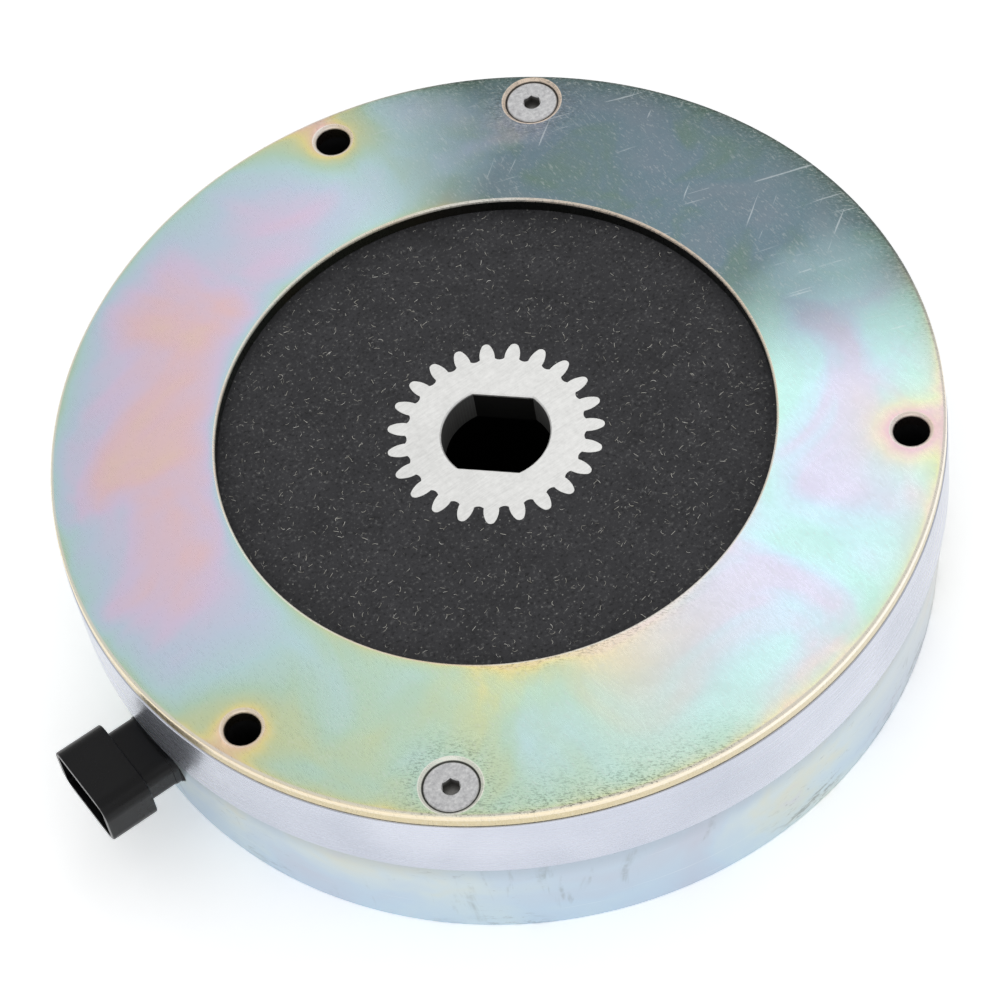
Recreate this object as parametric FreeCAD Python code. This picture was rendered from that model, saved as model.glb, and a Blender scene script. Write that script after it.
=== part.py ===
import FreeCAD, Part
import math
import os

Vector = FreeCAD.Vector
CENTRE = Vector(0, 0, 0)
UP = Vector(0, 0, 1)

# Fasteners: bolts and screws share one circle, and their angles are counted from the connector
connector_angle = 180.0
fastener_circle_radius = 76.2
mounting_hole_count = 3
mounting_hole_radius = 3.3
mounting_hole_chamfer = 0.7
first_hole_angle = 18.8
screw_count = 2
first_screw_angle = 48.8

# Mounting plate: a flat ring that bolts to the motor and that the friction disc rubs on
plate_rim_margin = 6.35
plate_thickness = 3.2
plate_rub_width = 17.7
plate_edge_chamfer = 0.5
plate_back_chamfer = 0.2
window_chamfer = 0.3

# Splined hub: involute teeth outside, a round bore with two flats inside
hub_teeth = 23
hub_pitch_radius = 18.55
hub_pressure_angle = 20.0
hub_addendum = 1.65
hub_dedendum = 2.05
hub_flank_start = 0.35
hub_tip_rounding = 0.45
hub_length = 7.5
hub_bore_radius = 10.15
hub_across_flats = 16.8
hub_bore_chamfer = 0.25
hub_rest_angle = 135.4
tooth_angle_from_flat = 2.5
spline_clearance = 0.06

# Friction disc: a steel carrier with a lining on each face
carrier_thickness = 3.0
lining_thickness = 2.25
lining_overlap = 0.4
lining_edge_chamfer = 0.3
disc_sleeve_clearance = 1.7

# Armature plate, pulled down on to the poles when the coil is live
armature_thickness = 6.35
armature_reach = 1.8
armature_edge_chamfer = 0.4
armature_sleeve_clearance = 0.3
hub_ledge = 0.5

# Gaps of the stack at rest, with the springs holding the disc against the plate
air_gap = 0.4
face_gap = 0.05

# Spacer sleeves, which hold the plate off the magnet body and guide the armature
sleeve_radius = 5.0
sleeve_seat_depth = 2.0
sleeve_seat_clearance = 0.05
sleeve_edge_chamfer = 0.3

# Magnet body: a steel pot with a drafted outside and a closed back
body_height = 26.8
body_draft_angle = 4.6
body_foot_rounding = 0.6
back_wall = 5.0
pole_edge_chamfer = 0.3

# Dust band round the gap between the magnet body and the plate
band_overhang = 0.2
band_wall = 0.8
band_edge_rounding = 0.3
band_register_depth = 1.5
band_register_clearance = 0.1
band_top_gap = 0.25
body_step_under_band = 0.35

# Coil, wound on a bobbin and potted in the slot between the poles
coil_slot_width = 17.0
coil_slot_depth = 18.5
bobbin_wall = 1.0
bobbin_clearance = 0.25
bobbin_height = 14.5
winding_inset = 0.8
potting_recess = 0.4

# Torque springs, in pockets in the outer pole
spring_count = 6
first_spring_angle = 33.8
spring_circle_inset = 6.7
spring_pocket_radius = 4.0
spring_pocket_depth = 13.0
spring_pocket_wall = 3.5
spring_wire_radius = 0.7
spring_pocket_clearance = 0.35
spring_turns = 6.5

# Countersunk plate screws with a hexagon socket
screw_radius = 2.5
screw_length = 25.0
screw_head_radius = 5.0
screw_head_sink = 0.45
screw_head_bevel = 0.3
screw_cone_clearance = 0.05
screw_socket_across_flats = 3.0
screw_socket_depth = 2.0
screw_hole_clearance = 0.05
screw_hole_spare_depth = 2.0
countersink_margin = 0.7

# Connector: a moulding with an open rectangular shroud, pressed into the side of the body.
# The offset is the sideways distance from the body's axis.
connector_below_poles = 7.8
connector_offset = 3.2
connector_seat_depth = 2.0
gasket_thickness = 1.0
gasket_border = 0.2
collar_thickness = 1.2
collar_border = 0.15
neck_width = 14.2
neck_height = 8.6
neck_length = 5.6
neck_rounding = 2.8
shroud_width = 18.0
shroud_height = 12.2
shroud_length = 9.6
shroud_rounding = 3.6
shroud_wall = 1.4
socket_rounding = 1.0
shroud_rim_rounding = 0.3
socket_depth = 8.5
spigot_radius = 3.6
spigot_length = 8.0
spigot_clearance = 0.15
seat_pocket_clearance = 0.3
pin_radius = 0.8
pin_spacing = 4.4
pin_reach = 6.0
pin_tip_chamfer = 0.25
pin_fit = 0.02
lead_radius = 1.0

# Reach of a cutting shape past the face it opens, and the slack when edges are picked by place
cut_overrun = 1.0
same_place = 0.001

# Places that follow from the sizes above
connector_height = body_height - connector_below_poles
hub_tip_radius = hub_pitch_radius + hub_addendum
hub_root_radius = hub_pitch_radius - hub_dedendum
countersink_radius = screw_head_radius + countersink_margin
plate_radius = fastener_circle_radius + plate_rim_margin
disc_radius = fastener_circle_radius - sleeve_radius - disc_sleeve_clearance
plate_window_radius = disc_radius - plate_rub_width
disc_thickness = carrier_thickness + 2 * lining_thickness
band_radius = plate_radius + band_overhang
register_radius = band_radius - band_wall - band_register_clearance
body_radius = band_radius - body_step_under_band
band_seat = body_height - band_register_depth
shaft_opening_radius = hub_root_radius - hub_ledge
spring_circle_radius = fastener_circle_radius - spring_circle_inset
slot_outer_radius = spring_circle_radius - spring_pocket_radius - spring_pocket_wall
slot_inner_radius = slot_outer_radius - coil_slot_width
slot_floor = body_height - coil_slot_depth
armature_bottom = body_height + air_gap + face_gap
armature_top = armature_bottom + armature_thickness
disc_bottom = armature_top + face_gap
disc_top = disc_bottom + disc_thickness
plate_bottom = disc_top + face_gap
plate_top = plate_bottom + plate_thickness
sleeve_bottom = body_height - sleeve_seat_depth
screw_bore_radius = screw_radius + screw_hole_clearance
screw_bottom = plate_top - screw_head_sink - screw_length
connector_seat_radius = body_radius - connector_seat_depth


def cylinder(radius, bottom, top, x=0.0, y=0.0):
    """Upright cylinder between two heights"""
    return Part.makeCylinder(radius, top - bottom, Vector(x, y, bottom), UP)


def tube(outer, inner, bottom, top, x=0.0, y=0.0):
    """Upright ring between two heights"""
    return cylinder(outer, bottom, top, x, y).cut(cylinder(inner, bottom, top, x, y))


def cone(bottom_radius, top_radius, bottom, top, x=0.0, y=0.0):
    """Upright cone between two heights"""
    return Part.makeCone(bottom_radius, top_radius, top - bottom, Vector(x, y, bottom), UP)


def revolved(points):
    """Solid of revolution about the vertical axis from an outline of radius and height"""
    outline = [Vector(radius, 0, height) for radius, height in points]
    wire = Part.makePolygon(outline + outline[:1])
    return Part.Face(wire).revolve(CENTRE, UP, 360)


def turned(shape, angle):
    """The shape turned about the vertical axis, by an angle in degrees"""
    copy = shape.copy()
    copy.rotate(CENTRE, UP, angle)
    return copy


def on_fastener_circle(angle):
    """Plan position of a fastener, with its angle counted from the connector"""
    plan = math.radians(connector_angle + angle)
    return fastener_circle_radius * math.cos(plan), fastener_circle_radius * math.sin(plan)


def around(count, first):
    """Evenly spaced angles round the axis"""
    return [first + 360.0 * step / count for step in range(count)]


def circular_edges(shape, radius, height):
    """Circles about the vertical axis with a given radius and height"""
    found = []
    for edge in shape.Edges:
        if not isinstance(edge.Curve, Part.Circle):
            continue
        centre = edge.Curve.Center
        off_axis = math.hypot(centre.x, centre.y)
        off_radius = abs(edge.Curve.Radius - radius)
        off_height = abs(centre.z - height)
        if max(off_axis, off_radius, off_height) < same_place:
            found.append(edge)
    return found


hole_angles = around(mounting_hole_count, first_hole_angle)
screw_angles = around(screw_count, first_screw_angle)
hole_places = [on_fastener_circle(angle) for angle in hole_angles]
screw_places = [on_fastener_circle(angle) for angle in screw_angles]


def involute(angle):
    """Involute function of a pressure angle in radians"""
    return math.tan(angle) - angle


def half_tooth_angle(radius):
    """Half the angle that one tooth covers at a radius on its involute flank"""
    pressure = math.radians(hub_pressure_angle)
    base_radius = hub_pitch_radius * math.cos(pressure)
    at_pitch = math.pi / (2 * hub_teeth) + involute(pressure)
    return at_pitch - involute(math.acos(min(1.0, base_radius / radius)))


def toothed_prism(bottom, top, clearance):
    """Prism with the outline of the spline, moved outwards by a clearance"""
    step = 2 * math.pi / hub_teeth
    low = hub_root_radius + hub_flank_start
    high = hub_tip_radius - hub_tip_rounding

    def point(tooth, radius, side):
        angle = tooth * step + side * (half_tooth_angle(radius) + clearance / radius)
        reach = radius + clearance
        return Vector(reach * math.cos(angle), reach * math.sin(angle), bottom)

    def centre_point(turn, radius):
        reach = radius + clearance
        return Vector(reach * math.cos(turn * step), reach * math.sin(turn * step), bottom)

    edges = []
    middle = (low + high) / 2
    for tooth in range(hub_teeth):
        rising = [point(tooth, radius, -1) for radius in (low, middle, high)]
        falling = [point(tooth, radius, 1) for radius in (high, middle, low)]
        valley_end = point(tooth + 1, low, -1)
        edges.append(Part.Arc(*rising).toShape())
        edges.append(Part.Arc(rising[2], centre_point(tooth, hub_tip_radius), falling[0]).toShape())
        edges.append(Part.Arc(*falling).toShape())
        valley_floor = centre_point(tooth + 0.5, hub_root_radius)
        edges.append(Part.Arc(falling[2], valley_floor, valley_end).toShape())
    prism = Part.Face(Part.Wire(edges)).extrude(UP * (top - bottom))
    return turned(prism, hub_rest_angle + tooth_angle_from_flat)


def double_d_prism(bottom, top):
    """Prism with the outline of the shaft: a circle with two flats"""
    flats = Part.makeBox(
        2 * hub_bore_radius, hub_across_flats, top - bottom,
        Vector(-hub_bore_radius, -hub_across_flats / 2, bottom),
    )
    return turned(cylinder(hub_bore_radius, bottom, top).common(flats), hub_rest_angle)


def mounting_plate():
    """Ring plate with a wide window, chamfered bolt holes and countersunk screw holes"""
    plate = revolved([
        (plate_window_radius, plate_bottom),
        (plate_radius - plate_back_chamfer, plate_bottom),
        (plate_radius, plate_bottom + plate_back_chamfer),
        (plate_radius, plate_top - plate_edge_chamfer),
        (plate_radius - plate_edge_chamfer, plate_top),
        (plate_window_radius + window_chamfer, plate_top),
        (plate_window_radius, plate_top - window_chamfer),
    ])
    for x, y in hole_places:
        plate = plate.cut(cylinder(mounting_hole_radius, plate_bottom, plate_top, x, y))
        mouth = mounting_hole_radius + mounting_hole_chamfer
        bevel_bottom = plate_top - mounting_hole_chamfer
        plate = plate.cut(cone(mounting_hole_radius, mouth, bevel_bottom, plate_top, x, y))
    for x, y in screw_places:
        plate = plate.cut(cylinder(screw_bore_radius, plate_bottom, plate_top, x, y))
        sink_depth = countersink_radius - screw_bore_radius
        sink_bottom = plate_top - sink_depth
        plate = plate.cut(cone(screw_bore_radius, countersink_radius, sink_bottom, plate_top, x, y))
    return plate


def plate_screw(x, y):
    """Countersunk screw whose head stops just under the plate's face"""
    head_top = plate_top - screw_head_sink
    cone_top = plate_top - (countersink_radius - screw_cone_clearance - screw_head_radius)
    cone_bottom = cone_top - (screw_head_radius - screw_radius)
    screw = cylinder(screw_radius, screw_bottom, cone_bottom, x, y)
    screw = screw.fuse(cone(screw_radius, screw_head_radius, cone_bottom, cone_top, x, y))
    flat_radius = screw_head_radius - screw_head_bevel
    screw = screw.fuse(cone(screw_head_radius, flat_radius, cone_top, head_top, x, y))
    corner_radius = screw_socket_across_flats / math.sqrt(3)
    corners = []
    for corner in range(6):
        angle = math.radians(60 * corner)
        corners.append(Vector(
            x + corner_radius * math.cos(angle), y + corner_radius * math.sin(angle), head_top))
    hexagon = Part.Face(Part.makePolygon(corners + corners[:1]))
    socket = hexagon.extrude(UP * -screw_socket_depth)
    return screw.cut(socket).removeSplitter()


def spacer_sleeve(x, y, bore_radius):
    """Tube between the magnet body and the plate, seated in the body"""
    outer = cylinder(sleeve_radius, sleeve_bottom, plate_bottom, x, y)
    ends = [
        edge for edge in outer.Edges
        if isinstance(edge.Curve, Part.Circle)
    ]
    outer = outer.makeChamfer(sleeve_edge_chamfer, ends)
    return outer.cut(cylinder(bore_radius, sleeve_bottom, plate_bottom, x, y))


def dust_band():
    """Thin polished ring that closes the gap, with rounded outer edges"""
    bottom = band_seat
    top = plate_bottom - band_top_gap
    band = tube(band_radius, band_radius - band_wall, bottom, top)
    edges = circular_edges(band, band_radius, bottom) + circular_edges(band, band_radius, top)
    return band.makeFillet(band_edge_rounding, edges)


def magnet_body():
    """Pot magnet body with poles, coil slot, pockets, bolt holes and the connector's seat"""
    foot_radius = body_radius - band_seat * math.tan(math.radians(body_draft_angle))
    body = revolved([
        (0, 0),
        (foot_radius, 0),
        (body_radius, band_seat),
        (register_radius, band_seat),
        (register_radius, body_height - pole_edge_chamfer),
        (register_radius - pole_edge_chamfer, body_height),
        (slot_outer_radius, body_height),
        (slot_outer_radius, slot_floor),
        (slot_inner_radius, slot_floor),
        (slot_inner_radius, body_height),
        (shaft_opening_radius + pole_edge_chamfer, body_height),
        (shaft_opening_radius, body_height - pole_edge_chamfer),
        (shaft_opening_radius, back_wall),
        (0, back_wall),
    ])
    body = body.makeFillet(body_foot_rounding, circular_edges(body, foot_radius, 0))
    seat_radius = sleeve_radius + sleeve_seat_clearance
    for x, y in hole_places:
        body = body.cut(cylinder(mounting_hole_radius, 0, body_height, x, y))
        body = body.cut(cylinder(seat_radius, sleeve_bottom, body_height, x, y))
    for x, y in screw_places:
        hole_bottom = screw_bottom - screw_hole_spare_depth
        body = body.cut(cylinder(screw_bore_radius, hole_bottom, body_height, x, y))
        body = body.cut(cylinder(seat_radius, sleeve_bottom, body_height, x, y))
    pocket = cylinder(
        spring_pocket_radius, body_height - spring_pocket_depth, body_height, spring_circle_radius)
    for angle in around(spring_count, connector_angle + first_spring_angle):
        body = body.cut(turned(pocket, angle))
    return body.cut(turned(connector_recess(), connector_angle))


def torque_spring(angle):
    """Helical spring with flat ends, from its pocket's floor to the armature"""
    bottom = body_height - spring_pocket_depth
    mean_radius = spring_pocket_radius - spring_pocket_clearance - spring_wire_radius
    length = armature_bottom - bottom
    pitch = length / spring_turns
    run = Part.makeHelix(pitch, length, mean_radius)
    section = Part.Wire(Part.makeCircle(spring_wire_radius, Vector(mean_radius, 0, 0), Vector(0, 1, 0)))
    coil = Part.Wire(run).makePipeShell([section], True, True)
    coil = coil.common(cylinder(spring_pocket_radius, 0, length))
    coil.translate(Vector(spring_circle_radius, 0, bottom))
    return turned(coil, angle)


def coil_bobbin():
    """Spool with two flanges, open outwards, that sits on the slot's floor"""
    inner = slot_inner_radius + bobbin_clearance
    flange = slot_outer_radius - bobbin_clearance
    bottom = slot_floor
    top = slot_floor + bobbin_height
    return revolved([
        (inner, bottom),
        (flange, bottom),
        (flange, bottom + bobbin_wall),
        (inner + bobbin_wall, bottom + bobbin_wall),
        (inner + bobbin_wall, top - bobbin_wall),
        (flange, top - bobbin_wall),
        (flange, top),
        (inner, top),
    ])


def winding_outer_radius():
    """Outside of the copper, a little inside the bobbin's flanges"""
    return slot_outer_radius - bobbin_clearance - winding_inset


def coil_winding():
    """The copper wire of the coil as one ring"""
    inner = slot_inner_radius + bobbin_clearance + bobbin_wall
    bottom = slot_floor + bobbin_wall
    top = slot_floor + bobbin_height - bobbin_wall
    return tube(winding_outer_radius(), inner, bottom, top)


def coil_potting():
    """Resin that fills the slot above the bobbin, just under the pole faces"""
    bottom = slot_floor + bobbin_height
    return tube(slot_outer_radius, slot_inner_radius, bottom, body_height - potting_recess)


def armature_plate():
    """Steel ring that the springs push, with a notch for each sleeve"""
    radius = fastener_circle_radius + armature_reach
    plate = revolved([
        (shaft_opening_radius, armature_bottom),
        (radius - armature_edge_chamfer, armature_bottom),
        (radius, armature_bottom + armature_edge_chamfer),
        (radius, armature_top - armature_edge_chamfer),
        (radius - armature_edge_chamfer, armature_top),
        (shaft_opening_radius, armature_top),
    ])
    notch_radius = sleeve_radius + armature_sleeve_clearance
    for x, y in hole_places + screw_places:
        plate = plate.cut(cylinder(notch_radius, armature_bottom, armature_top, x, y))
    return plate


def disc_carrier():
    """Steel middle of the friction disc, with the inner spline"""
    bottom = disc_bottom + lining_thickness
    top = bottom + carrier_thickness
    carrier = cylinder(disc_radius - lining_overlap, bottom, top)
    return carrier.cut(toothed_prism(bottom, top, spline_clearance))


def lining(bottom, edge_at_top):
    """Friction lining bonded to one face of the carrier, with its outer edge broken"""
    top = bottom + lining_thickness
    pad = cylinder(disc_radius, bottom, top)
    outer_edge = circular_edges(pad, disc_radius, top if edge_at_top else bottom)
    pad = pad.makeChamfer(lining_edge_chamfer, outer_edge)
    return pad.cut(toothed_prism(bottom, top, spline_clearance))


def splined_hub():
    """Toothed hub, flush with the disc, with a double-D bore for the motor shaft"""
    bottom = disc_top - hub_length
    hub = toothed_prism(bottom, disc_top, 0)
    hub = hub.cut(double_d_prism(bottom, disc_top))
    mouth = [
        edge for edge in hub.Edges
        if edge.BoundBox.ZMin > disc_top - same_place
        and max(math.hypot(v.X, v.Y) for v in edge.Vertexes) < hub_bore_radius + same_place
    ]
    return hub.makeChamfer(hub_bore_chamfer, mouth)


def rounded_block(start, end, width, height, rounding):
    """Block along the connector's axis, with its four long edges rounded"""
    block = Part.makeBox(
        end - start, width, height,
        Vector(start, connector_offset - width / 2, connector_height - height / 2))
    long_edges = [edge for edge in block.Edges
                  if abs(edge.Vertexes[0].X - edge.Vertexes[1].X) > same_place]
    return block.makeFillet(rounding, long_edges)


def along_connector(radius, start, end, sideways=0.0):
    """Round bar on the connector's axis or beside it"""
    foot = Vector(start, connector_offset + sideways, connector_height)
    return Part.makeCylinder(radius, end - start, foot, Vector(1, 0, 0))


collar_start = connector_seat_radius + gasket_thickness
neck_start = collar_start + collar_thickness
shroud_start = neck_start + neck_length
shroud_end = shroud_start + shroud_length
socket_floor = shroud_end - socket_depth
spigot_end = connector_seat_radius - spigot_length
collar_width = neck_width + 2 * collar_border
collar_height = neck_height + 2 * collar_border
collar_rounding = neck_rounding + collar_border
pin_offsets = (-pin_spacing / 2, pin_spacing / 2)


def connector_recess():
    """What the connector takes out of the body: a flat seat and a hole to the coil"""
    border = 2 * (gasket_border + seat_pocket_clearance)
    seat = rounded_block(
        connector_seat_radius, body_radius + cut_overrun, collar_width + border, collar_height + border,
        collar_rounding + gasket_border + seat_pocket_clearance)
    hole = along_connector(
        spigot_radius + spigot_clearance, slot_outer_radius - cut_overrun, connector_seat_radius)
    return seat.fuse(hole)


def connector_gasket():
    """Flat rubber seal under the connector's collar"""
    seal = rounded_block(
        connector_seat_radius, collar_start,
        collar_width + 2 * gasket_border, collar_height + 2 * gasket_border,
        collar_rounding + gasket_border)
    hole = along_connector(spigot_radius + spigot_clearance, connector_seat_radius, collar_start)
    return turned(seal.cut(hole), connector_angle)


def connector_housing():
    """Moulding with a spigot, collar, neck and an open shroud round two pins"""
    spigot = along_connector(spigot_radius, spigot_end, collar_start)
    collar = rounded_block(
        collar_start, neck_start, collar_width, collar_height, collar_rounding)
    neck = rounded_block(neck_start, shroud_start, neck_width, neck_height, neck_rounding)
    shroud = rounded_block(
        shroud_start, shroud_end, shroud_width, shroud_height, shroud_rounding)
    outer_rim = [edge for edge in shroud.Edges
                 if edge.BoundBox.XMin > shroud_end - same_place
                 or edge.BoundBox.XMax < shroud_start + same_place]
    shroud = shroud.makeFillet(shroud_rim_rounding, outer_rim)
    socket = rounded_block(
        socket_floor, shroud_end, shroud_width - 2 * shroud_wall,
        shroud_height - 2 * shroud_wall, socket_rounding)
    housing = spigot.fuse([collar, neck, shroud]).cut(socket)
    for offset in pin_offsets:
        housing = housing.cut(along_connector(pin_radius + pin_fit, spigot_end, shroud_end, offset))
    return turned(housing, connector_angle)


def connector_pin(offset):
    """Round contact pin with a bevelled tip"""
    pin = along_connector(pin_radius, spigot_end, socket_floor + pin_reach, offset)
    tip = [edge for edge in pin.Edges
           if isinstance(edge.Curve, Part.Circle) and edge.Curve.Center.x > socket_floor]
    return turned(pin.makeChamfer(pin_tip_chamfer, tip), connector_angle)


def coil_leads():
    """Two insulated leads from the winding to the back of the pins"""
    leads = []
    for offset in pin_offsets:
        lead = along_connector(lead_radius, slot_inner_radius, spigot_end, offset)
        leads.append(lead.cut(cylinder(winding_outer_radius(), 0, body_height)))
    return turned(Part.makeCompound(leads), connector_angle)


def write_parts():
    """Make every piece and write one file for each"""
    parts = {
        "mounting_plate": mounting_plate(),
        "dust_band": dust_band(),
        "magnet_body": magnet_body(),
        "coil_bobbin": coil_bobbin(),
        "coil_winding": coil_winding(),
        "coil_potting": coil_potting(),
        "coil_leads": coil_leads(),
        "armature_plate": armature_plate(),
        "disc_carrier": disc_carrier(),
        "rear_lining": lining(disc_bottom, False),
        "front_lining": lining(disc_top - lining_thickness, True),
        "splined_hub": splined_hub(),
        "connector_housing": connector_housing(),
        "connector_gasket": connector_gasket(),
    }
    for number, offset in enumerate(pin_offsets, 1):
        parts[f"connector_pin_{number}"] = connector_pin(offset)
    for number, (x, y) in enumerate(hole_places, 1):
        parts[f"mounting_sleeve_{number}"] = spacer_sleeve(x, y, mounting_hole_radius)
    for number, (x, y) in enumerate(screw_places, 1):
        parts[f"screw_sleeve_{number}"] = spacer_sleeve(x, y, screw_bore_radius)
        parts[f"plate_screw_{number}"] = plate_screw(x, y)
    spring_angles = around(spring_count, connector_angle + first_spring_angle)
    for number, angle in enumerate(spring_angles, 1):
        parts[f"torque_spring_{number}"] = torque_spring(angle)
    os.makedirs("parts", exist_ok=True)
    for name, shape in parts.items():
        shape.exportStep(f"parts/{name}.step")
        box = shape.BoundBox
        print(f"{name}: {len(shape.Solids)} solid, {shape.Volume / 1000:.2f} cm3, valid {shape.isValid()},"
              f" z {box.ZMin:.2f} to {box.ZMax:.2f}")


write_parts()
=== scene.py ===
import math

import bmesh
import bpy
from mathutils import Matrix, Vector


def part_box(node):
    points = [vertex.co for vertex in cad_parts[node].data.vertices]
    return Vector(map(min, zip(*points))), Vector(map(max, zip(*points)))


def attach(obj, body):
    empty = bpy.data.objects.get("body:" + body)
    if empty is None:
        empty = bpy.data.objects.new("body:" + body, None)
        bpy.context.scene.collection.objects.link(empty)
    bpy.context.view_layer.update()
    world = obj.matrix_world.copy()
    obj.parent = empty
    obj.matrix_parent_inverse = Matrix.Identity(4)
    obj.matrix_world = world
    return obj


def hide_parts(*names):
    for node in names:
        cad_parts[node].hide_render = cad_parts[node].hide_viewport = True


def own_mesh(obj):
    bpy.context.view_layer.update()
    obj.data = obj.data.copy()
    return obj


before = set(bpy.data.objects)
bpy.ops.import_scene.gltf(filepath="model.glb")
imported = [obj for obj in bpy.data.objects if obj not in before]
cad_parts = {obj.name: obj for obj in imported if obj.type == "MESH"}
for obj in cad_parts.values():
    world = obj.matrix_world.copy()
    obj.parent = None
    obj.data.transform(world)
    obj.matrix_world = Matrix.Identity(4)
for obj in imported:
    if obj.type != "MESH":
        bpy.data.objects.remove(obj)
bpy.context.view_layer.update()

# Studio
# A white floor, even light from all sides and two large soft lamps. The long lens looks down on the
# connector's side, tilted a little, and the plate mirrors the back lamp into it.

picture_width = 1001
camera_elevation = math.radians(55.62)
camera_azimuth = math.radians(-26.5)
camera_roll = math.radians(11.05)
camera_distance = 0.6867
focal_length_pixels = 3745.8
plate_centre_pixel = (493.6, 422.1)
sensor_width = 36
nearest_shown = 0.05
floor_size = 12.0
floor_seen = 1.62
floor_lit = 0.9
sky_level = 0.65
plate_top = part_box("mounting_plate")[1].z


def add_camera():
    """Camera that shows the plate's centre at its pixel of the picture"""
    back = Vector((
        math.sin(camera_azimuth) * math.cos(camera_elevation),
        -math.cos(camera_azimuth) * math.cos(camera_elevation),
        math.sin(camera_elevation)))
    level_right = Vector((0, 0, 1)).cross(back).normalized()
    level_up = back.cross(level_right)
    right = level_right * math.cos(camera_roll) - level_up * math.sin(camera_roll)
    up = level_right * math.sin(camera_roll) + level_up * math.cos(camera_roll)
    shift_right = (plate_centre_pixel[0] - picture_width / 2) / focal_length_pixels
    shift_down = (plate_centre_pixel[1] - picture_width / 2) / focal_length_pixels
    aim = back - shift_right * right + shift_down * up
    location = Vector((0, 0, plate_top)) + camera_distance * aim
    lens = bpy.data.cameras.new("camera")
    lens.sensor_width = sensor_width
    lens.lens = focal_length_pixels * sensor_width / picture_width
    lens.clip_start = nearest_shown
    camera = bpy.data.objects.new("camera", lens)
    turn = Matrix((right, up, back)).transposed().to_4x4()
    camera.matrix_world = Matrix.Translation(location) @ turn
    bpy.context.collection.objects.link(camera)
    bpy.context.scene.camera = camera


def add_lamp(name, direction, distance, size, power):
    """Square soft lamp that faces the object from a direction"""
    light = bpy.data.lights.new(name, "AREA")
    light.shape = "SQUARE"
    light.size = size
    light.energy = power
    lamp = bpy.data.objects.new(name, light)
    facing = Vector(direction).normalized()
    lamp.location = facing * distance
    lamp.rotation_euler = facing.to_track_quat("Z", "Y").to_euler()
    bpy.context.collection.objects.link(lamp)


def add_floor():
    """Floor that is white to the camera and in the metal, but lights the object only as paper does"""
    made = bpy.data.materials.new("floor")
    made.use_nodes = True
    nodes = made.node_tree.nodes
    links = made.node_tree.links
    nodes.remove(nodes["Principled BSDF"])
    plain = nodes.new("ShaderNodeBsdfDiffuse")
    plain.inputs["Color"].default_value = (floor_lit, floor_lit, floor_lit, 1)
    bright = nodes.new("ShaderNodeBsdfDiffuse")
    bright.inputs["Color"].default_value = (floor_seen, floor_seen, floor_seen, 1)
    choice = nodes.new("ShaderNodeMixShader")
    path = nodes.new("ShaderNodeLightPath")
    seen = path.outputs["Is Camera Ray"]
    for ray in ("Is Glossy Ray", "Is Transmission Ray"):
        either = nodes.new("ShaderNodeMath")
        either.operation = "MAXIMUM"
        links.new(seen, either.inputs[0])
        links.new(path.outputs[ray], either.inputs[1])
        seen = either.outputs[0]
    links.new(seen, choice.inputs[0])
    links.new(plain.outputs[0], choice.inputs[1])
    links.new(bright.outputs[0], choice.inputs[2])
    links.new(choice.outputs[0], nodes["Material Output"].inputs["Surface"])
    mesh = bpy.data.meshes.new("floor")
    half = floor_size / 2
    corners = [(-half, -half, 0), (half, -half, 0), (half, half, 0), (-half, half, 0)]
    mesh.from_pydata(corners, [], [(0, 1, 2, 3)])
    mesh.materials.append(made)
    floor = bpy.data.objects.new("floor", mesh)
    bpy.context.collection.objects.link(floor)


def add_sky():
    """Even white light from all sides"""
    world = bpy.data.worlds.new("studio")
    world.use_nodes = True
    background = world.node_tree.nodes["Background"]
    background.inputs["Color"].default_value = (sky_level, sky_level, sky_level, 1)
    bpy.context.scene.world = world


add_camera()
add_sky()
add_lamp("back_lamp", (0.35, 0.42, 0.84), 1.6, 0.55, 0.85)
add_lamp("front_lamp", (-0.5, -0.8, 0.5), 1.8, 2.0, 5.0)
add_floor()
bpy.context.scene.view_settings.view_transform = "Standard"

# Mounting plate
# A turned steel ring with yellow zinc passivation, a film whose colours run through pink, blue, green
# and gold as it thickens towards edges and holes. Three bolt holes are chamfered, and two others are
# countersunk for the screws that hold it to their spacer sleeves.

MM = 0.001
plate_window_radius = 51.8
mounting_hole_radius = 3.3
mounting_hole_chamfer = 0.7
countersink_radius = 5.7
screw_bore_radius = 2.55
plate_rim_rounding = 0.75
plate_window_rounding = 0.4
plate_back_rounding = 0.3
window_back_rounding = 0.1
plate_low, plate_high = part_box("mounting_plate")
plate_radius = plate_high.x / MM
ring_segments = 288
hole_segments = 64
sharp_angle = 35
past_face = 1


def place_of(node):
    """Plan position of a round upright node's axis, in millimetres"""
    low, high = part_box(node)
    return (low.x + high.x) / 2 / MM, (low.y + high.y) / 2 / MM


hole_places = [place_of(f"mounting_sleeve_{number}") for number in (1, 2, 3)]
screw_places = [place_of(f"plate_screw_{number}") for number in (1, 2)]


def rounded(corners, steps=4):
    """Closed outline from corners of radius, height and the length that each rounding takes"""
    outline = []
    for index, (radius, height, rounding) in enumerate(corners):
        here = Vector((radius, height))
        if not rounding:
            outline.append(here)
            continue
        before = Vector(corners[index - 1][:2])
        after = Vector(corners[(index + 1) % len(corners)][:2])
        start = here + (before - here).normalized() * rounding
        end = here + (after - here).normalized() * rounding
        for step in range(steps + 1):
            share = step / steps
            outline.append(start.lerp(here, share).lerp(here.lerp(end, share), share))
    return outline


def linked(name, mesh):
    """Object made from a bmesh"""
    data = bpy.data.meshes.new(name)
    mesh.to_mesh(data)
    mesh.free()
    made = bpy.data.objects.new(name, data)
    bpy.context.collection.objects.link(made)
    return made


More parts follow.
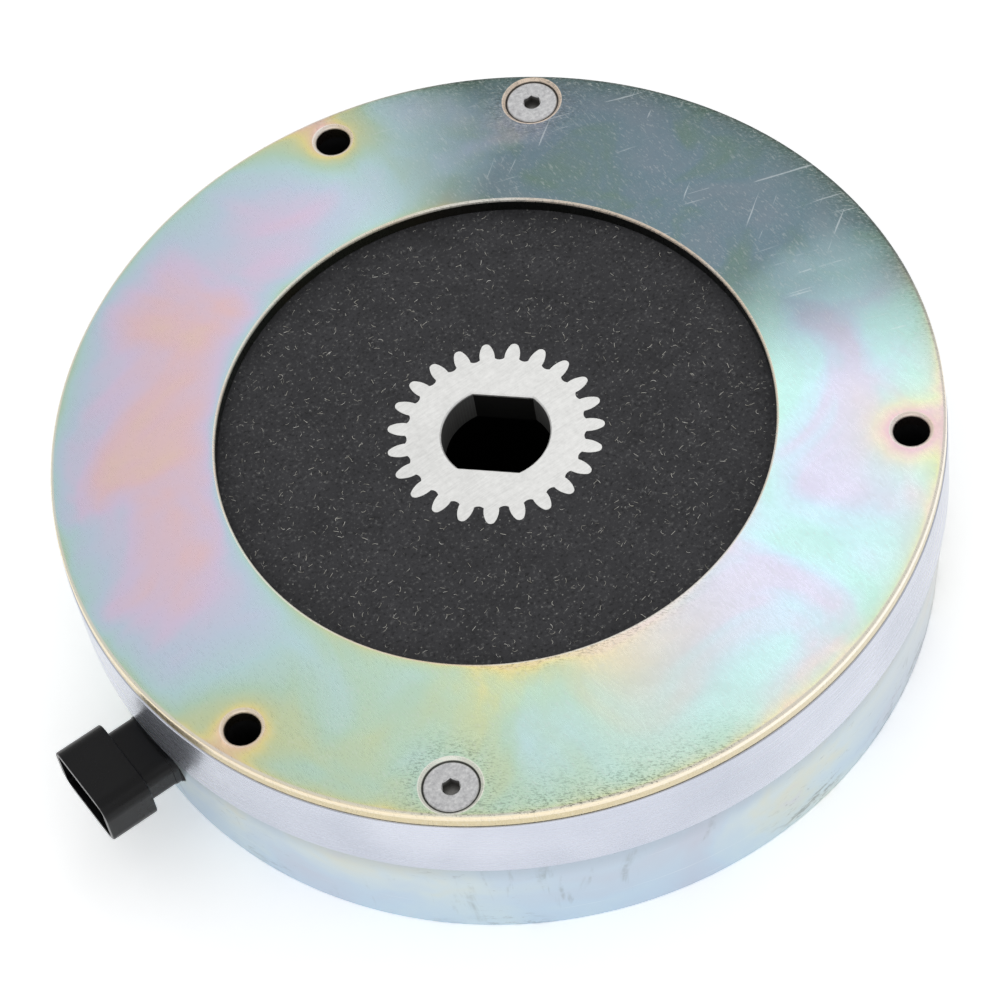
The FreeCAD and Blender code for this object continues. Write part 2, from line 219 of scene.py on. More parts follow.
def turned(name, outline, segments, x=0.0, y=0.0):
    """Object made by turning a closed outline in millimetres about an upright axis"""
    mesh = bmesh.new()
    rings = []
    for radius, height in outline:
        ring = []
        for step in range(segments):
            angle = 2 * math.pi * step / segments
            ring.append(mesh.verts.new((
                (x + radius * math.cos(angle)) * MM, (y + radius * math.sin(angle)) * MM, height * MM)))
        rings.append(ring)
    following = rings[1:] + rings[:1]
    for (low_radius, _), (high_radius, _), low, high in zip(
            outline, outline[1:] + outline[:1], rings, following):
        if low_radius == 0 and high_radius == 0:
            continue
        for step in range(segments):
            after = (step + 1) % segments
            mesh.faces.new((low[step], low[after], high[after], high[step]))
    bmesh.ops.remove_doubles(mesh, verts=mesh.verts, dist=1e-7)
    bmesh.ops.recalc_face_normals(mesh, faces=mesh.faces)
    return linked(name, mesh)


def settled(piece):
    """Turns a piece's modifiers into plain mesh"""
    graph = bpy.context.evaluated_depsgraph_get()
    mesh = bpy.data.meshes.new_from_object(piece.evaluated_get(graph))
    piece.modifiers.clear()
    piece.data = mesh


def smoothed(piece, cutters=()):
    """Cuts holes, then shades rounded edges smooth and keeps flat faces flat"""
    for cutter in cutters:
        hole = piece.modifiers.new("hole", "BOOLEAN")
        hole.object = cutter
        hole.solver = "EXACT"
    settled(piece)
    for cutter in cutters:
        bpy.data.objects.remove(cutter)
    piece.data.shade_smooth()
    piece.data.set_sharp_from_angle(angle=math.radians(sharp_angle))
    weighted = piece.modifiers.new("weighted", "WEIGHTED_NORMAL")
    weighted.keep_sharp = True
    settled(piece)
    return piece


def dressed(piece, material, body, slot, *nodes):
    """Gives a piece its material, its body and any nodes that it stands for. The slot argument is not used.
    """
    piece.data.materials.clear()
    piece.data.materials.append(material)
    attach(piece, body)
    if nodes:
        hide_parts(*nodes)


class Socket:
    """Output of a shader node. Arithmetic on it adds math nodes, and node() adds any other node."""

    def __init__(self, tree, output):
        self.tree = tree
        self.output = output

    def node(self, kind, inputs, output=0, **settings):
        """New node with its inputs fed by name or number, and one of its outputs"""
        made = self.tree.nodes.new(kind)
        for name, value in settings.items():
            setattr(made, name, value)
        for key, value in inputs.items():
            if isinstance(value, Socket):
                self.tree.links.new(value.output, made.inputs[key])
            else:
                made.inputs[key].default_value = value
        return Socket(self.tree, made.outputs[output])

    def math(self, operation, *others):
        """Math node whose first input is this socket"""
        return self.node("ShaderNodeMath", dict(enumerate((self,) + others)), operation=operation)

    def __add__(self, other):
        return self.math("ADD", other)

    def __sub__(self, other):
        return self.math("SUBTRACT", other)

    def __mul__(self, other):
        return self.math("MULTIPLY", other)

    def __rsub__(self, other):
        return self.node("ShaderNodeMath", {0: other, 1: self}, operation="SUBTRACT")

    __radd__ = __add__
    __rmul__ = __mul__

    def faded(self, start, end):
        """Smooth step from 0 at the start to 1 at the end, which may be the lower one"""
        return self.node("ShaderNodeMapRange", {
            "Value": self, "From Min": start, "From Max": end}, interpolation_type="SMOOTHSTEP")

    def falloff(self, reach):
        """1 where this socket is 0 or less, and fading to nothing over about three times the reach"""
        return (self.math("MAXIMUM", 0.0) * (-1 / reach)).math("EXPONENT")

    def parts(self):
        """The three coordinates of a place"""
        split = self.tree.nodes.new("ShaderNodeSeparateXYZ")
        self.tree.links.new(self.output, split.inputs[0])
        return [Socket(self.tree, output) for output in split.outputs]

    def scaled(self, x, y, z):
        """A place with each coordinate multiplied"""
        return self.node("ShaderNodeVectorMath", {0: self, 1: (x, y, z)}, operation="MULTIPLY")

    def noise(self, scale, detail=3.0, roughness=0.55, distortion=0.0):
        """Noise from 0 to 1 at this place"""
        return self.node("ShaderNodeTexNoise", {
            "Vector": self, "Scale": scale, "Detail": detail, "Roughness": roughness,
            "Distortion": distortion})

    def ramp(self, stops):
        """Colours along this value, from pairs of position and colour"""
        made = self.tree.nodes.new("ShaderNodeValToRGB")
        self.tree.links.new(self.output, made.inputs[0])
        elements = made.color_ramp.elements
        while len(elements) < len(stops):
            elements.new(1.0)
        for element, (position, colour) in zip(elements, stops):
            element.position = position
            element.color = colour
        return Socket(self.tree, made.outputs[0])

    def choose(self, low, high):
        """The low colour where this value is 0 and the high one where it is 1"""
        return self.node("ShaderNodeMix", {0: self, 6: low, 7: high}, 2, data_type="RGBA")

    def bump(self, strength, distance):
        """Surface normal moved by this height"""
        return self.node("ShaderNodeBump", {"Height": self, "Strength": strength, "Distance": distance})


def colour(red, green, blue):
    """Linear colour from the 0 to 255 values of a picture"""
    linear = []
    for value in (red, green, blue):
        share = value / 255
        linear.append(share / 12.92 if share < 0.04045 else ((share + 0.055) / 1.055) ** 2.4)
    return (*linear, 1.0)


def new_material(name):
    """Material, its place socket in metres and a function that feeds its shader"""
    made = bpy.data.materials.new(name)
    made.use_nodes = True
    tree = made.node_tree
    shader = tree.nodes["Principled BSDF"]
    place = Socket(tree, tree.nodes.new("ShaderNodeTexCoord").outputs["Object"])

    def feed(**values):
        for key, value in values.items():
            socket = shader.inputs[key.replace("_", " ")]
            if isinstance(value, Socket):
                tree.links.new(value.output, socket)
            else:
                socket.default_value = value

    return made, place, feed


def largest(masks):
    """The largest of several masks at each place"""
    most, *others = masks
    for mask in others:
        most = most.math("MAXIMUM", mask)
    return most


def plan_distance(x, y):
    """Distance in plan, from its two coordinates"""
    return (x * x + y * y).math("SQRT")


def near_bearing(bearing, degrees, spread):
    """1 towards a bearing, fading to 0 at the spread to both sides of it"""
    offset = (bearing - math.radians(degrees)).math("COSINE")
    return offset.faded(math.cos(math.radians(spread)), 1.0)


def spun(place, degrees):
    """A place turned about the upright axis"""
    return place.node("ShaderNodeVectorRotate", {
        "Vector": place, "Angle": math.radians(degrees)}, rotation_type="Z_AXIS")


def scratches(place, degrees, level):
    """Thin straight scratches in one direction, 1 on a scratch. A higher level gives more of them."""
    lines = spun(place, degrees).scaled(60, 1400, 60).noise(1.0, 2.0, 0.5, 0.3)
    return lines.faded(level + 0.02, level)


def film_thickness(clouds, wisps, from_rim, from_window, from_bolts, from_screws, towards):
    """Share of the film's full thickness, which picks its colour. Distances are from each edge, in metres."""
    left = towards(138, 78)
    film = 0.47 + (clouds - 0.5) * 0.8 + (wisps - 0.5) * 0.1
    film = film - left * 0.38 + towards(-125, 60) * 0.06
    film = film + from_rim.falloff(7 * MM) * (left * 0.3 + towards(-45, 80) * 0.2 + 0.08)
    film = film + from_rim.falloff(0.8 * MM) * 0.22
    film = film + from_window.falloff(3 * MM) * (left * 0.14 + 0.12)
    film = film + from_window.falloff(0.7 * MM) * 0.2
    film = film + from_window.falloff(6 * MM) * towards(-112, 34) * 0.16
    film = film.math("MINIMUM", 0.84)
    film = film + sum(edge.falloff(4 * MM) for edge in from_bolts) * 0.42
    return film - sum(edge.falloff(5 * MM) for edge in from_screws) * 0.13


def passivated_steel():
    """Yellow zinc film on sheet steel with painted reflections, dark to one side and pale to the other, and
    rubbed-bright edges with painted highlights
    """
    made, place, feed = new_material("yellow_zinc")
    x, y, z = place.parts()
    radius = plan_distance(x, y)
    bearing = y.math("ARCTAN2", x)

    def towards(degrees, spread):
        return near_bearing(bearing, degrees, spread)

    def past_edge(hole, edge_radius):
        return plan_distance(x - hole[0] * MM, y - hole[1] * MM) - edge_radius * MM

    clouds = place.noise(32.0, 3.0, 0.5, 0.9)
    wisps = place.noise(55.0, 4.0, 0.55, 1.0)
    from_rim = plate_radius * MM - radius
    from_window = radius - plate_window_radius * MM
    from_bolts = [past_edge(hole, mounting_hole_radius + mounting_hole_chamfer) for hole in hole_places]
    from_screws = [past_edge(hole, countersink_radius) for hole in screw_places]
    film = film_thickness(clouds, wisps, from_rim, from_window, from_bolts, from_screws, towards)
    tint = film.ramp([
        (0.0, colour(242, 210, 202)),
        (0.08, colour(240, 206, 212)),
        (0.22, colour(226, 210, 234)),
        (0.33, colour(204, 218, 236)),
        (0.45, colour(194, 224, 226)),
        (0.57, colour(192, 220, 198)),
        (0.7, colour(208, 218, 174)),
        (0.8, colour(236, 224, 158)),
        (0.9, colour(240, 210, 176)),
        (1.0, colour(236, 194, 194)),
    ])

    # The right side, paler and bluer as a painted reflection of the lamp, and the rounded rim and flat side
    # under it
    # Painted reflection: the right side turns paler and bluer, less so near the bolt holes and the rim
    right = towards(-45, 80)
    halo = sum(edge.falloff(4 * MM) for edge in from_bolts).math("MINIMUM", 1.0)
    painted_right_sheen = right * (1 - halo * 0.8) * (1 - from_rim.falloff(3 * MM) * 0.7)
    shine = clouds.ramp([
        (0.38, colour(196, 242, 234)), (0.46, colour(206, 242, 250)), (0.53, colour(214, 230, 254)),
        (0.62, colour(226, 216, 250))])
    tint = (painted_right_sheen * 0.76).choose(tint, shine)
    # Painted highlight along the rounded rim
    painted_rim_highlight = from_rim.faded(0.8 * MM, 0.5 * MM)
    side = from_rim.faded(0.35 * MM, 0.1 * MM)
    tint = (painted_rim_highlight * 0.75).choose(tint, colour(255, 248, 236))
    # The flat side under the rim is gold, painted whiter towards the right as a reflection of the floor
    tint = (side * 0.8).choose(tint, right.choose(colour(244, 228, 196), colour(255, 248, 234)))
    middle = (plate_high.z + plate_low.z) / 2
    under_lip = z.faded(middle + 0.5 * MM, middle + 0.2 * MM) * side
    tint = (under_lip * 0.6).choose(tint, colour(196, 180, 132))

    # The far side, darkened as a painted reflection of something dark, most near the rim
    painted_dark_reflection = towards(24, 59) * (1.1 + (clouds - 0.5) * 0.9 + from_rim.falloff(5 * MM) * 0.3)
    dark = wisps.ramp([
        (0.36, colour(94, 116, 110)), (0.5, colour(98, 118, 130)), (0.64, colour(110, 124, 136))])
    dark = (from_rim.falloff(4 * MM) * 0.85).choose(dark, colour(62, 84, 76))
    tint = painted_dark_reflection.math("MINIMUM", 0.94).choose(tint, dark)

    # Grain of the sheet, except at the left, and scuffs and scratches of handling
    streaks = place.scaled(3400, 800, 800).noise(1.0, 2.0, 0.6)
    grainy = 1 - towards(138, 78)
    tint = (streaks.faded(0.56, 0.7) * grainy * 0.2).choose(tint, colour(238, 244, 242))
    tint = (streaks.faded(0.44, 0.32) * grainy * 0.16).choose(tint, colour(120, 134, 128))
    specks = spun(place, 40).scaled(1500, 4200, 1500).noise(1.0, 3.0, 0.7)
    scuff = (1 - side) * largest([
        from_rim.falloff(2.5 * MM) * towards(22, 70),
        from_window.falloff(1.5 * MM) * towards(-105, 35),
        from_rim.falloff(5 * MM) * towards(-112, 26),
        *(edge.falloff(3 * MM) * (1 - edge.falloff(0.5 * MM)) for edge in from_screws)])
    tint = (specks.faded(0.5, 0.38) * scuff * 0.8).choose(tint, colour(64, 72, 62))
    tint = (specks.faded(0.56, 0.68) * scuff * 0.7).choose(tint, colour(226, 226, 216))
    marks = largest([scratches(place, 20, 0.29), scratches(place, -35, 0.27)])
    marks = marks * (towards(20, 80) * 0.8 + 0.1) * wisps.faded(0.46, 0.56)
    tint = (marks * 0.4).choose(tint, colour(222, 230, 232))

    # Cut edges, partly rubbed bright and partly a painted highlight at the top, with painted shade down in
    # the holes and in the gap round the screw heads
    cut = largest([
        from_window.faded(0.5 * MM, 0.35 * MM),
        *(edge.faded(0.15 * MM, 0.0) for edge in from_bolts),
        *(edge.faded(0.25 * MM, 0.1 * MM) for edge in from_screws)])
    gap = largest(edge.faded(-0.4 * MM, -0.55 * MM) for edge in from_screws)
    deep = z.faded(plate_high.z - 0.55 * MM, plate_high.z - 0.8 * MM)
    glint = cut * (1 - deep) * (specks.faded(0.4, 0.5) * 0.4 + 0.6)
    bright_edge = clouds.faded(0.4, 0.6).choose(colour(248, 226, 204), colour(252, 248, 238))
    tint = (glint * 0.85).choose(tint, bright_edge)
    tint = (cut * largest([deep, gap]) * 0.94).choose(tint, colour(38, 36, 32))
    rough = 0.3 + (streaks - 0.5) * 0.25 + (wisps - 0.5) * 0.12
    relief = streaks * grainy * 0.5 + marks * 0.2
    feed(Base_Color=tint, Metallic=0.85 - glint * 0.4, Roughness=rough, Normal=relief.bump(0.25, 0.00005))
    return made


def make_mounting_plate():
    bottom = plate_low.z / MM
    top = plate_high.z / MM
    plate = turned("mounting_plate_ring", rounded([
        (plate_window_radius, bottom, window_back_rounding),
        (plate_radius, bottom, plate_back_rounding),
        (plate_radius, top, plate_rim_rounding),
        (plate_window_radius, top, plate_window_rounding),
    ]), ring_segments)
    cutters = []
    for hole_x, hole_y in hole_places:
        cutters.append(turned("bolt_hole", [
            (0, bottom - past_face), (mounting_hole_radius, bottom - past_face),
            (mounting_hole_radius, top - mounting_hole_chamfer),
            (mounting_hole_radius + 0.15, top - mounting_hole_chamfer + 0.35),
            (mounting_hole_radius + mounting_hole_chamfer, top),
            (mounting_hole_radius + mounting_hole_chamfer + 0.1, top + past_face), (0, top + past_face),
        ], hole_segments, hole_x, hole_y))
    sink_bottom = top - (countersink_radius - screw_bore_radius)
    for hole_x, hole_y in screw_places:
        cutters.append(turned("screw_hole", [
            (0, bottom - past_face), (screw_bore_radius, bottom - past_face),
            (screw_bore_radius, sink_bottom), (countersink_radius, top),
            (countersink_radius + 0.1, top + past_face), (0, top + past_face),
        ], hole_segments, hole_x, hole_y))
    smoothed(plate, cutters)
    dressed(plate, passivated_steel(), "housing", "yellow_zinc", "mounting_plate")


make_mounting_plate()

# Plate screws
# Two bright zinc-plated steel screws with flat countersunk heads and a hexagon socket. The heads sit a
# little below the plate's face, in the countersinks, and their rims are turned and slightly bevelled.

screw_radius = 2.5
screw_head_radius = 5.0
screw_head_bevel = 0.25
screw_socket_across_flats = 3.0
screw_socket_depth = 2.0
socket_lead_in = 0.3
screw_segments = 96


def screw_steel():
    """Bright zinc with a fine mottle, and painted shade down in the socket"""
    made, place, feed = new_material("screw_steel")
    clouds = place.noise(1300.0, 5.0, 0.7)
    tint = clouds.ramp([
        (0.3, colour(172, 172, 174)), (0.5, colour(202, 202, 203)), (0.7, colour(230, 230, 230))])
    head_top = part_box("plate_screw_1")[1].z
    # Painted shade down in the hexagon socket
    socket_shade = place.parts()[2].faded(head_top - 0.3 * MM, head_top - 1.3 * MM)
    tint = (socket_shade * 0.85).choose(tint, colour(92, 90, 86))
    speck = place.noise(4000.0, 1.0)
    feed(Base_Color=tint, Metallic=0.95, Roughness=0.28 + clouds * 0.2, Normal=speck.bump(0.2, 0.00003))
    return made


def make_plate_screws():
    material = screw_steel()
    for number, (x, y) in enumerate(screw_places, 1):
        low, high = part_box(f"plate_screw_{number}")
        top = high.z / MM
        bottom = low.z / MM
        rim = top - screw_head_bevel
        under_head = rim - (screw_head_radius - screw_radius)
        screw = turned(f"plate_screw_{number}_body", rounded([
            (0, bottom, 0), (screw_radius, bottom, 0.5), (screw_radius, under_head, 0.2),
            (screw_head_radius, rim, 0.1), (screw_head_radius - screw_head_bevel, top, 0.12), (0, top, 0),
        ]), screw_segments, x, y)
        corner = screw_socket_across_flats / math.sqrt(3)
        socket = turned("socket", [
            (0, top - screw_socket_depth), (corner, top - screw_socket_depth),
            (corner, top + past_face), (0, top + past_face),
        ], 6, x, y)
        lead_in = turned("lead_in", [
            (0, top - socket_lead_in), (corner - socket_lead_in, top - socket_lead_in),
            (corner + socket_lead_in, top + socket_lead_in), (0, top + socket_lead_in),
        ], hole_segments, x, y)
        smoothed(screw, [socket, lead_in])
        dressed(screw, material, "housing", "screw_steel", f"plate_screw_{number}")


make_plate_screws()

# Friction disc
# A steel carrier with a moulded lining bonded to each face. The lining is dark resin and mineral filler
# with short curled brass fibres that lie in its surface. It fills the plate's window round the hub.

lining_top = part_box("front_lining")[1].z
fibre_inner_radius = 21.0
fibre_outer_radius = 51.2
fibre_radius = 0.04
fibre_length = 0.9
fibres_per_square_metre = 210000.0
fibre_seed = 7


def shown_by(material, *names):
    """Gives CAD nodes that keep their own shape a material"""
    for name in names:
        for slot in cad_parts[name].material_slots:
            slot.material = material


def lining_compound():
    """Dark moulded friction material with filler specks and small pits"""
    made, place, feed = new_material("friction_lining")
    clouds = place.noise(160.0, 4.0, 0.6)
    specks = place.noise(1500.0, 3.0, 0.65)
    tint = clouds.ramp([(0.3, colour(46, 46, 49)), (0.7, colour(62, 62, 65))])
    tint = (specks.faded(0.56, 0.68) * 0.6).choose(tint, colour(104, 104, 104))
    tint = (specks.faded(0.44, 0.34) * 0.8).choose(tint, colour(26, 26, 28))
    dots = place.node("ShaderNodeTexVoronoi", {"Vector": place, "Scale": 620.0, "Randomness": 1.0})
    tint = dots.faded(0.12, 0.06).choose(tint, colour(140, 140, 136))
    height = specks + clouds * 0.3
    feed(Base_Color=tint, Roughness=0.75 + clouds * 0.15, Normal=height.bump(0.6, 0.0002))
    return made


def brass_fibre():
    """Tarnished brass of the lining's fibres"""
    made, place, feed = new_material("brass_fibre")
    shade = place.noise(900.0, 2.0)
    tint = shade.ramp([
        (0.35, colour(150, 147, 136)), (0.5, colour(214, 211, 200)), (0.66, colour(250, 249, 244))])
    feed(Base_Color=tint, Metallic=0.6, Roughness=0.4 + shade * 0.2)
    return made


class NodeTree:
    """Geometry node tree under construction"""

    def __init__(self, name):
        self.tree = bpy.data.node_groups.new(name, "GeometryNodeTree")
        self.tree.interface.new_socket("Geometry", in_out="INPUT", socket_type="NodeSocketGeometry")
        self.tree.interface.new_socket("Geometry", in_out="OUTPUT", socket_type="NodeSocketGeometry")
        self.given = self.tree.nodes.new("NodeGroupInput")
        self.result = self.tree.nodes.new("NodeGroupOutput")

    def value(self, name, kind, default):
        """Named input of the tree"""
        made = self.tree.interface.new_socket(name, in_out="INPUT", socket_type=kind)
        made.default_value = default
        return self.given.outputs[name]

    def node(self, kind, inputs, output=0, **settings):
        """New node fed by a dictionary, and one of its outputs"""
        made = self.tree.nodes.new(kind)
        for name, value in settings.items():
            setattr(made, name, value)
        for key, value in inputs.items():
            if isinstance(value, bpy.types.NodeSocket):
                self.tree.links.new(value, made.inputs[key])
            else:
                made.inputs[key].default_value = value
        return made.outputs[output]


def fibre_tree(material):
    """Short curled fibres scattered over a surface"""
    tree = NodeTree("fibres")
    density = tree.value("Density", "NodeSocketFloat", 1.0)
    wire = tree.value("Wire Radius", "NodeSocketFloat", 0.0001)
    seed = tree.value("Seed", "NodeSocketInt", 0)
    points = tree.node("GeometryNodeDistributePointsOnFaces", {
        "Mesh": tree.given.outputs["Geometry"], "Density": density, "Seed": seed})
    profile = tree.node("GeometryNodeCurvePrimitiveCircle", {"Resolution": 4, "Radius": wire})
    kinds = tree.tree.nodes.new("GeometryNodeGeometryToInstance")
    for sweep in (110, 50, 25, 8):
        arc_radius = fibre_length * MM / math.radians(sweep)
        arc = tree.node("GeometryNodeCurveArc", {
            "Resolution": 6, "Radius": arc_radius, "Sweep Angle": math.radians(sweep)}, mode="RADIUS")
        centred = tree.node("GeometryNodeTransform", {"Geometry": arc, "Translation": (-arc_radius, 0, 0)})
        fibre = tree.node("GeometryNodeCurveToMesh", {
            "Curve": centred, "Profile Curve": profile, "Fill Caps": True})
        tree.tree.links.new(fibre, kinds.inputs[0])
    spin = tree.node("FunctionNodeRandomValue", {
        "Min": (-0.06, -0.06, 0.0), "Max": (0.06, 0.06, 2 * math.pi), "Seed": seed}, data_type="FLOAT_VECTOR")
    size = tree.node("FunctionNodeRandomValue", {2: 0.25, 3: 1.3, "Seed": seed}, 1, data_type="FLOAT")
    pick = tree.node("FunctionNodeRandomValue", {4: 0, 5: 3, "Seed": seed}, 2, data_type="INT")
    placed = tree.node("GeometryNodeInstanceOnPoints", {
        "Points": points, "Instance": kinds.outputs[0], "Pick Instance": True, "Instance Index": pick,
        "Rotation": spin, "Scale": size})
    real = tree.node("GeometryNodeRealizeInstances", {"Geometry": placed})
    coloured = tree.node("GeometryNodeSetMaterial", {"Geometry": real, "Material": material})
    tree.tree.links.new(coloured, tree.result.inputs["Geometry"])
    return tree.tree


def grown(piece, tree, **values):
    """Runs a node tree on a piece and keeps the plain mesh"""
    step = piece.modifiers.new("grown", "NODES")
    step.node_group = tree
    for item in tree.interface.items_tree:
        key = item.name.replace(" ", "_")
        if item.in_out == "INPUT" and key in values:
            step[item.identifier] = values[key]
    settled(piece)


def make_friction_disc():
    shown_by(lining_compound(), "front_lining", "rear_lining")
    ring = bmesh.new()
    edges = []
    for radius in (fibre_inner_radius, fibre_outer_radius):
        circle = bmesh.ops.create_circle(ring, radius=radius * MM, segments=64)["verts"]
        edges += [edge for edge in ring.edges if all(corner in circle for corner in edge.verts)]
    bmesh.ops.bridge_loops(ring, edges=edges)
    bmesh.ops.translate(ring, verts=ring.verts, vec=(0, 0, lining_top - fibre_radius * MM * 0.3))
    fibres = linked("lining_fibres", ring)
    material = brass_fibre()
    grown(fibres, fibre_tree(material), Density=fibres_per_square_metre,
          Wire_Radius=fibre_radius * MM, Seed=fibre_seed)
    dressed(fibres, material, "friction_disc", "friction_lining")


make_friction_disc()

# Splined hub
# A bright machined steel hub with rounded teeth, on which the disc slides, and a round bore with two
# flats for the motor's shaft. Its face is ground flush with the lining.

hub_bore_radius = 10.15


def hub_steel():
    """Ground face with faint straight grinding lines, and painted shade down in the bore"""
    made, place, feed = new_material("hub_steel")
    lines = place.scaled(250, 3500, 250).noise(1.0, 3.0, 0.6)
    blotch = place.noise(120.0, 3.0)
    x, y, z = place.parts()
    # Painted shade down in the bore, below the face
    bore = (plan_distance(x, y) - hub_bore_radius * MM).faded(0.15 * MM, -0.05 * MM)
    bore = bore * (z - lining_top).faded(-0.3 * MM, -0.8 * MM)
    grain = place.noise(900.0, 4.0, 0.7)
    mottle = lines * 0.3 + blotch * 0.3 + grain * 0.4
    tint = mottle.ramp([(0.36, colour(226, 226, 224)), (0.64, colour(254, 254, 252))])
    tint = bore.choose(tint, colour(24, 23, 22))
    feed(Base_Color=tint, Metallic=0.7, Roughness=0.32 + blotch * 0.12 + bore * 0.4,
         Normal=lines.bump(0.15, 0.00003))
    return made


shown_by(hub_steel(), "splined_hub")

# Dust band
# A thin bright-plated steel strip rolled into a ring. It is pressed over the body's rim and closes the
# gap to the plate.

band_wall = 0.8
band_edge_rounding = 0.35
band_inner_rounding = 0.1


def bright_strip():
    """Mirror-bright plating with faint rolling lines"""
    made, place, feed = new_material("bright_band")
    lines = place.scaled(6, 6, 2500).noise(1.0, 2.0, 0.5)
    waves = place.noise(35.0, 2.0)
    tint = waves.ramp([(0.35, colour(198, 202, 214)), (0.65, colour(214, 217, 228))])
    feed(Base_Color=tint, Metallic=0.88, Roughness=0.22 + lines * 0.1, Normal=lines.bump(0.06, 0.00002))
    return made


def make_dust_band():
    low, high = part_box("dust_band")
    radius = high.x / MM
    bottom = low.z / MM
    top = high.z / MM
    band = turned("dust_band_ring", rounded([
        (radius - band_wall, bottom, band_inner_rounding), (radius, bottom, band_edge_rounding),
        (radius, top, band_edge_rounding), (radius - band_wall, top, band_inner_rounding),
    ]), ring_segments)
    dressed(smoothed(band), bright_strip(), "housing", "bright_band", "dust_band")


make_dust_band()

# Magnet body
# A drafted steel pot with blue-clear zinc plating, scuffed by handling. Its poles stand within it, round
# a room for the shaft's tip, painted dark as shade.

shoulder_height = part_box("dust_band")[0].z
shaft_room_radius = 20.0
body_back_wall = 5.0


def clear_zinc():
    """Bluish zinc with stains, scuffs and short scratches, painted shade under the band and in the shaft's
    room
    """
    made, place, feed = new_material("clear_zinc")
    x, y, z = place.parts()
    clouds = place.noise(24.0, 4.0, 0.6, 0.6)
    tint = clouds.ramp([
        (0.3, colour(196, 200, 212)), (0.42, colour(196, 210, 222)), (0.52, colour(206, 217, 220)),
        (0.61, colour(214, 217, 206)), (0.7, colour(210, 207, 216))])
    bearing = y.math("ARCTAN2", x)
    # Paler and less blue towards the right flank, where the scuff patches also gather
    right_flank = near_bearing(bearing, -38, 42)
    low_band = z.faded(18 * MM, 4 * MM)
    tint = (low_band * (1 - right_flank) * 0.25).choose(tint, colour(182, 211, 231))
    tint = (right_flank * 0.6).choose(tint, colour(206, 208, 212))
    # Painted shade on the body just under the band
    painted_band_shade = z.faded(shoulder_height - 7 * MM, shoulder_height)
    tint = (painted_band_shade * 0.5).choose(tint, colour(164, 176, 188))
    drips = bearing.node("ShaderNodeCombineXYZ", {"X": bearing * 16, "Y": z * 30}).noise(1.0, 4.0, 0.6, 0.5)
    stain = drips.faded(0.6, 0.7) * place.noise(260.0, 4.0, 0.7).faded(0.36, 0.6)
    tint = (stain * 0.4).choose(tint, colour(132, 140, 140))
    low_edge = z.faded(9 * MM, 2 * MM) * 0.1
    rubbed = place.scaled(1.0, 1.0, 2.5).noise(240.0, 6.0, 0.8, 0.4) + low_edge
    patches = largest([place.noise(24.0, 2.0).faded(0.48, 0.62), right_flank * z.faded(22 * MM, 10 * MM)])
    scuffs = rubbed.faded(0.58, 0.68) * patches
    tint = (scuffs * 0.5).choose(tint, colour(124, 124, 120))
    lines = place.scaled(30, 30, 1800).noise(1.0, 3.0, 0.6)
    tint = (lines.faded(0.66, 0.72) * 0.4).choose(tint, colour(232, 236, 240))
    # Painted shade in the room for the shaft's tip
    past_wall = z - body_back_wall * MM
    in_room = (plan_distance(x, y) - shaft_room_radius * MM).faded(0.0, -2 * MM)
    room_shade = in_room * past_wall.faded(-1 * MM, 0.2 * MM)
    tint = room_shade.choose(tint, colour(22, 22, 22))
    grain = place.noise(1800.0, 2.0)
    feed(Base_Color=tint, Metallic=0.9, Roughness=0.3 + clouds * 0.15 + scuffs * 0.2 + room_shade * 0.3,
         Normal=(grain + scuffs).bump(0.2, 0.00005))
    return made


shown_by(clear_zinc(), "magnet_body")

# Connector
# A black moulded nylon connector, pressed into the side of the body against a rubber gasket. Its two
# contact pins are stamped from brass.


def moulded_plastic(name, red, green, blue, rough, shine=0.35):
    """Satin moulded plastic or rubber with a fine spark-eroded texture"""
    made, place, feed = new_material(name)
    grain = place.noise(5000.0, 2.0)
    clouds = place.noise(150.0, 3.0)
    tint = clouds.ramp([
        (0.3, colour(red * 0.85, green * 0.85, blue * 0.85)),
        (0.7, colour(red * 1.1, green * 1.1, blue * 1.1))])
    feed(Base_Color=tint, Roughness=rough + (clouds - 0.5) * 0.12, Normal=grain.bump(0.25, 0.00004),
         Specular_IOR_Level=shine)
    return made


def plain_metal(name, red, green, blue, rough, metallic=0.9):
    """Machined or drawn metal with faint lines and blotches"""
    made, place, feed = new_material(name)
    lines = place.scaled(300, 300, 4000).noise(1.0, 3.0)
    clouds = place.noise(140.0, 3.0)
    tint = (lines * 0.5 + clouds * 0.5).ramp([
        (0.3, colour(red * 0.82, green * 0.82, blue * 0.82)), (0.7, colour(red, green, blue))])
    feed(Base_Color=tint, Metallic=metallic, Roughness=rough + (clouds - 0.5) * 0.2,
         Normal=lines.bump(0.15, 0.00004))
    return made


shown_by(moulded_plastic("connector_plastic", 4, 4, 6, 0.28, 0.28), "connector_housing")
shown_by(moulded_plastic("gasket_rubber", 38, 38, 38, 0.7), "connector_gasket")
shown_by(plain_metal("contact_brass", 214, 204, 176, 0.3), "connector_pin_1", "connector_pin_2")

# Torque springs
# Six coil springs of hard drawn wire with ground flat ends, one in each pocket of the body. They press on
# the armature, and in the real brake shorten with it when the coil pulls it back; here they keep one length.

spring_wire_radius = 0.7
spring_turns = 6.5
spring_steps_per_turn = 24
spring_wire_sides = 12
spring_count = 6


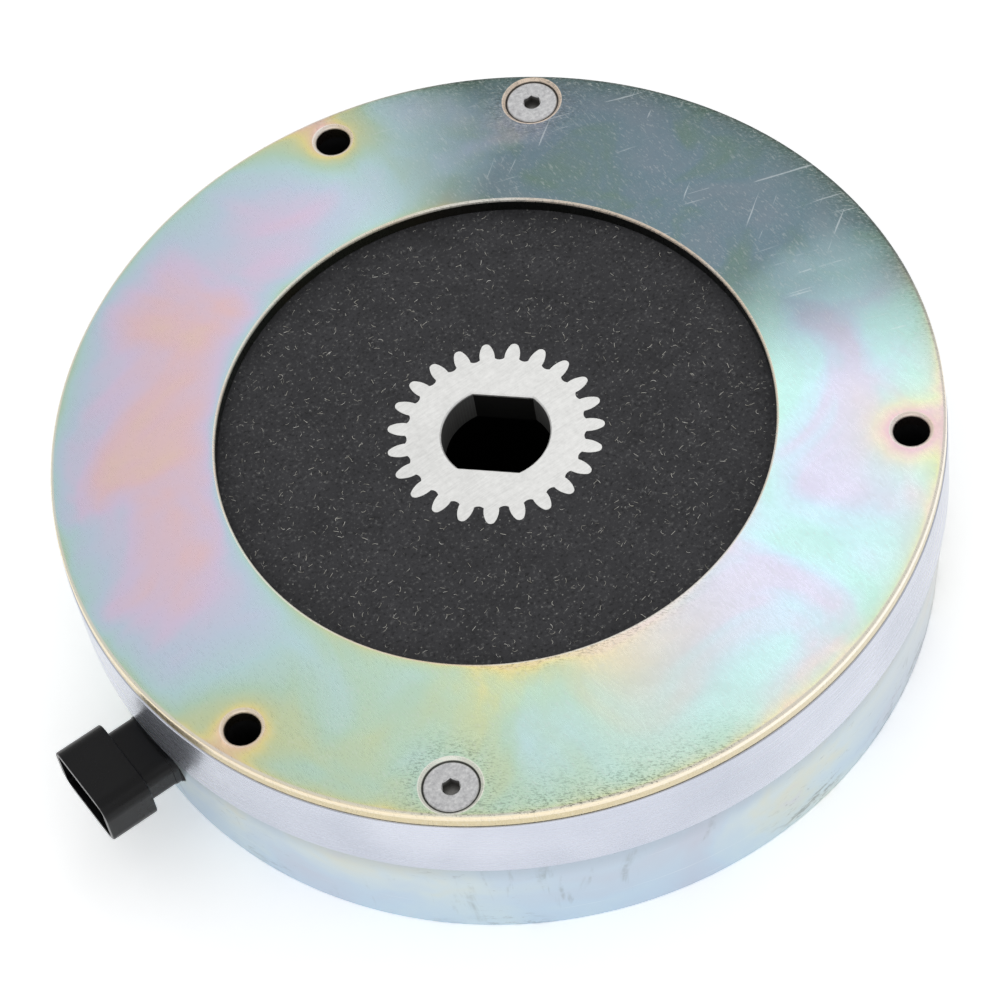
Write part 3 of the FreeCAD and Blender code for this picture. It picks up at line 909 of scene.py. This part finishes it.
def coil_spring(node):
    """Coil in a node's box, cut flat at both ends"""
    low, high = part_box(node)
    x, y = place_of(node)
    coil_radius = (high.x - low.x) / 2 / MM - spring_wire_radius
    steps = int(spring_turns * spring_steps_per_turn)
    mesh = bmesh.new()
    rings = []
    for step in range(steps + 1):
        turn = 2 * math.pi * step / spring_steps_per_turn
        outward = Vector((math.cos(turn), math.sin(turn), 0))
        centre = Vector((x, y, 0)) * MM + outward * coil_radius * MM
        centre.z = low.z + (high.z - low.z) * step / steps
        ring = []
        for side in range(spring_wire_sides):
            angle = 2 * math.pi * side / spring_wire_sides
            spoke = outward * math.cos(angle) + Vector((0, 0, math.sin(angle)))
            ring.append(mesh.verts.new(centre + spoke * spring_wire_radius * MM))
        rings.append(ring)
    for first, second in zip(rings, rings[1:]):
        for side in range(spring_wire_sides):
            after = (side + 1) % spring_wire_sides
            mesh.faces.new((first[side], first[after], second[after], second[side]))
    mesh.faces.new(rings[0])
    mesh.faces.new(rings[-1])
    for height, way in ((low.z, -1), (high.z, 1)):
        parts = mesh.verts[:] + mesh.edges[:] + mesh.faces[:]
        bmesh.ops.bisect_plane(
            mesh, geom=parts, plane_co=(0, 0, height), plane_no=(0, 0, way), clear_outer=True)
        bmesh.ops.holes_fill(mesh, edges=mesh.edges)
    bmesh.ops.recalc_face_normals(mesh, faces=mesh.faces)
    return linked(f"{node}_coil", mesh)


def make_torque_springs():
    material = plain_metal("spring_steel", 96, 98, 104, 0.35)
    for number in range(1, spring_count + 1):
        node = f"torque_spring_{number}"
        spring = smoothed(coil_spring(node))
        dressed(spring, material, "housing", "spring_steel", node)
        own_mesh(spring)


make_torque_springs()

# Inner pieces
# Turned spacer sleeves, the ground armature plate, and the coil: copper wire on a moulded bobbin, sealed
# with resin. They show only through the holes and gaps.

# The sleeves are coloured near black, as painted shade deep in the holes
shown_by(plain_metal("sleeve_steel", 48, 48, 50, 0.5, 0.4), "screw_sleeve_1", "screw_sleeve_2",
         "mounting_sleeve_1", "mounting_sleeve_2", "mounting_sleeve_3")
shown_by(plain_metal("ground_steel", 176, 178, 182, 0.35), "armature_plate")
shown_by(plain_metal("carrier_steel", 130, 130, 132, 0.45), "disc_carrier")
shown_by(plain_metal("copper_wire", 184, 104, 64, 0.35), "coil_winding")
shown_by(moulded_plastic("bobbin_plastic", 224, 218, 200, 0.5), "coil_bobbin")
shown_by(moulded_plastic("potting_resin", 30, 30, 32, 0.35), "coil_potting")
shown_by(moulded_plastic("lead_insulation", 150, 30, 26, 0.5), "coil_leads")
